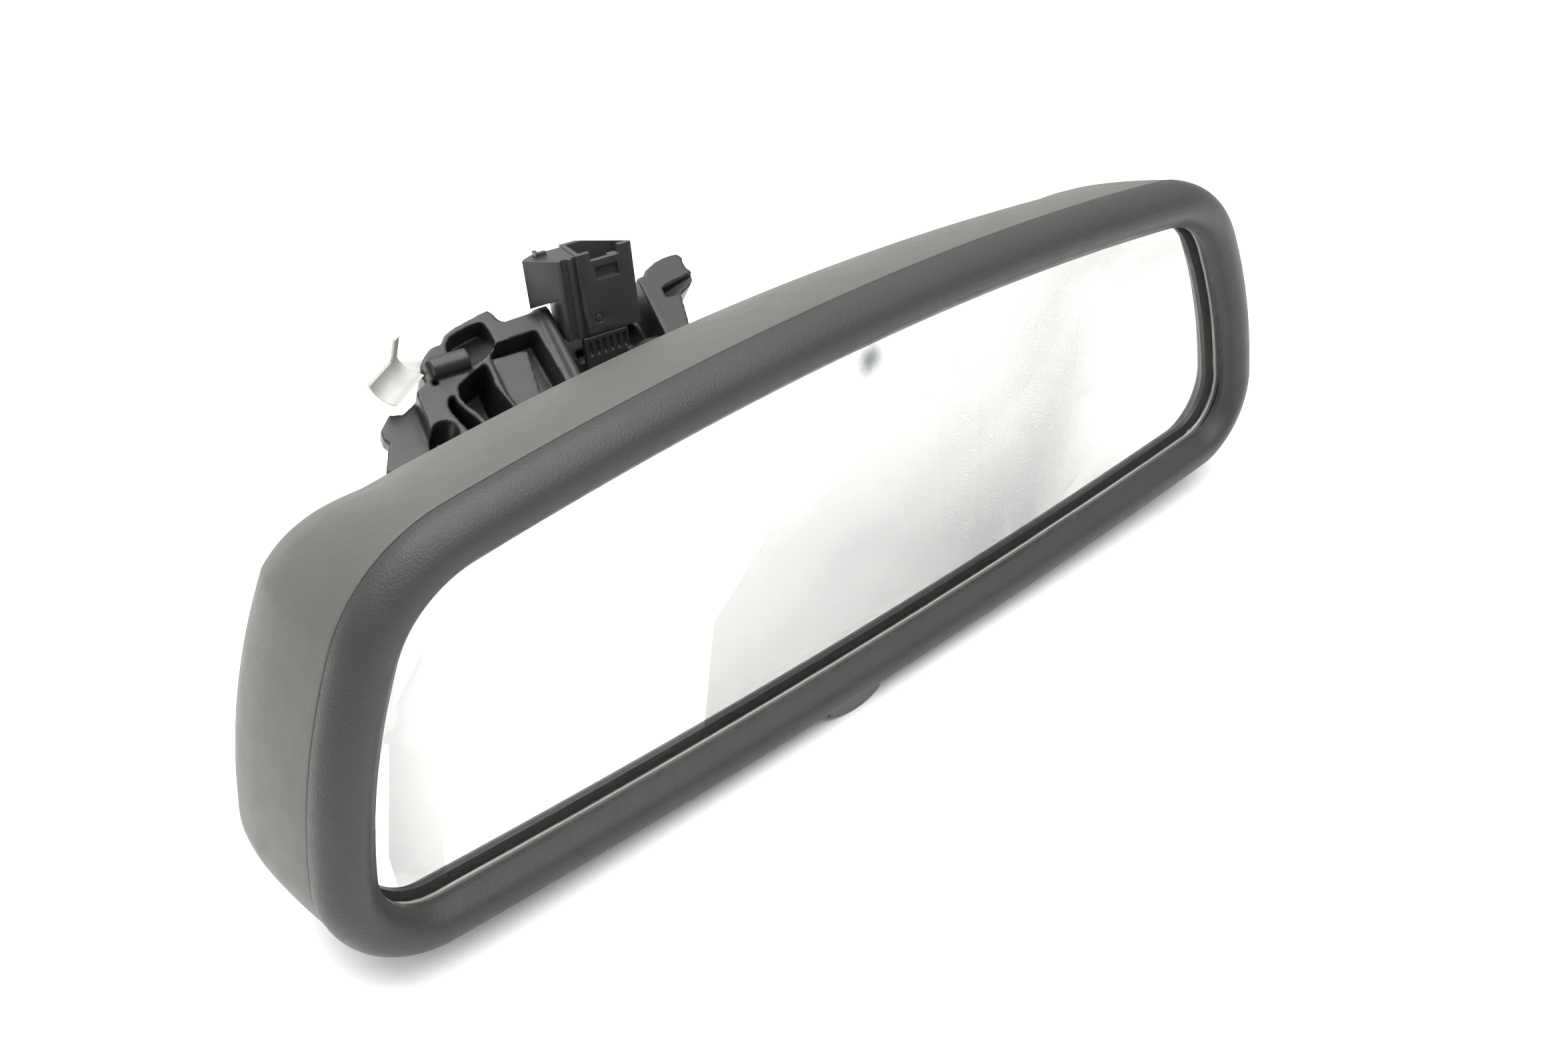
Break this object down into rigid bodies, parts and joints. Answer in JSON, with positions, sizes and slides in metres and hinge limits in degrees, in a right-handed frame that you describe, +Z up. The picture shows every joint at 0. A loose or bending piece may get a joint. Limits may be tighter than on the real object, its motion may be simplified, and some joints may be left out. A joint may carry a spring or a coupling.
{
  "type": "interior rear-view mirror",
  "caption": "Auto-dimming interior rear-view mirror: a wide crowned head with a soft bezel on a ball joint, a ribbed windscreen foot, a steel spring clip and a plug socket.",
  "frame": {"origin": "centre of the foot's seat on the windscreen", "axes": "+X across the foot, to the right as the driver sees it; +Z up in the car; +Y forward through the windscreen, so -Y points into the cabin"},
  "size_m": [0.2468, 0.1361, 0.0879],
  "materials": {
    "bezel_plastic": "fine grain, dark charcoal",
    "housing_plastic": "fine grain, warm dark grey",
    "clear_glass": "polished",
    "gel": "clear, faint green",
    "seal_epoxy": "satin",
    "silvered_glass": "polished silver backing",
    "copper_strip": "bright, tinned edge",
    "foam_pad": "closed-cell foam",
    "inner_plastic": "as moulded",
    "board_laminate": "solder mask",
    "screw_steel": "zinc plated",
    "chip_black": "moulded epoxy",
    "shroud_grey": "satin",
    "guide_clear": "clear acrylic",
    "capacitor_can": "bright",
    "header_nylon": "natural nylon",
    "lead_jacket": "smooth jacket",
    "button_plastic": "smooth satin",
    "switch_metal": "satin",
    "socket_black": "glass-filled nylon",
    "acetal": "natural acetal",
    "spring_steel": "bright",
    "neck_black": "satin",
    "stalk_metal": "die cast, bead blasted",
    "foot_black": "satin moulded",
    "clip_steel": "matt spring steel",
    "connector_black": "semi-gloss moulded",
    "pin_brass": "tinned"
  },
  "bodies": {
    "foot": {"foot_carrier": "foot_black", "ball_stalk": "stalk_metal", "stalk_screw": "screw_steel", "spring_clip": "clip_steel", "clip_screw": "screw_steel", "connector_shell": "connector_black", "contact_pins": "pin_brass", "foot_lead": "lead_jacket"},
    "pan_seat": {"seat_ring": "acetal"},
    "tilt_cup": {"pressure_cup": "acetal"},
    "head": {"bezel": "bezel_plastic", "rear_housing": "housing_plastic", "front_glass": "clear_glass", "electrochromic_gel": "gel", "edge_seal": "seal_epoxy", "mirror_glass": "silvered_glass", "bus_clip_top": "copper_strip", "bus_clip_bottom": "copper_strip", "bonding_pad": "foam_pad", "carrier_plate": "inner_plastic", "circuit_board": "board_laminate", "board_screws": "screw_steel", "glare_sensor": "chip_black", "sensor_shroud": "shroud_grey", "ambient_sensor": "chip_black", "ambient_light_guide": "guide_clear", "microcontroller": "chip_black", "small_chips": "chip_black", "capacitors": "capacitor_can", "board_header": "header_nylon", "head_lead": "lead_jacket", "mode_switch": "switch_metal", "socket_housing": "socket_black", "pressure_spring": "spring_steel", "socket_cap": "socket_black", "socket_screws": "screw_steel", "neck_cover": "neck_black"},
    "button": {"mode_button": "button_plastic"}
  },
  "joints": [
    {"name": "head_pan", "type": "hinge", "parent": "foot", "child": "pan_seat", "pos_m": [0.0077, -0.0622, -0.001], "axis": [0, 0, 1], "range_deg": [-29, 11]},
    {"name": "head_tilt", "type": "hinge", "parent": "pan_seat", "child": "tilt_cup", "pos_m": [0.0077, -0.0622, -0.001], "axis": [0.9877, 0.1564, 0], "range_deg": [-15, 15]},
    {"name": "head_roll", "type": "hinge", "parent": "tilt_cup", "child": "head", "pos_m": [0.0077, -0.0622, -0.001], "axis": [-0.1564, 0.9877, 0], "range_deg": [-6, 6]},
    {"name": "button_press", "type": "slide", "parent": "head", "child": "button", "axis": [0, 0, 1], "range_m": [0, 0.0005], "stiffness_N_per_m": 900, "springref_m": -0.0004}
  ]
}
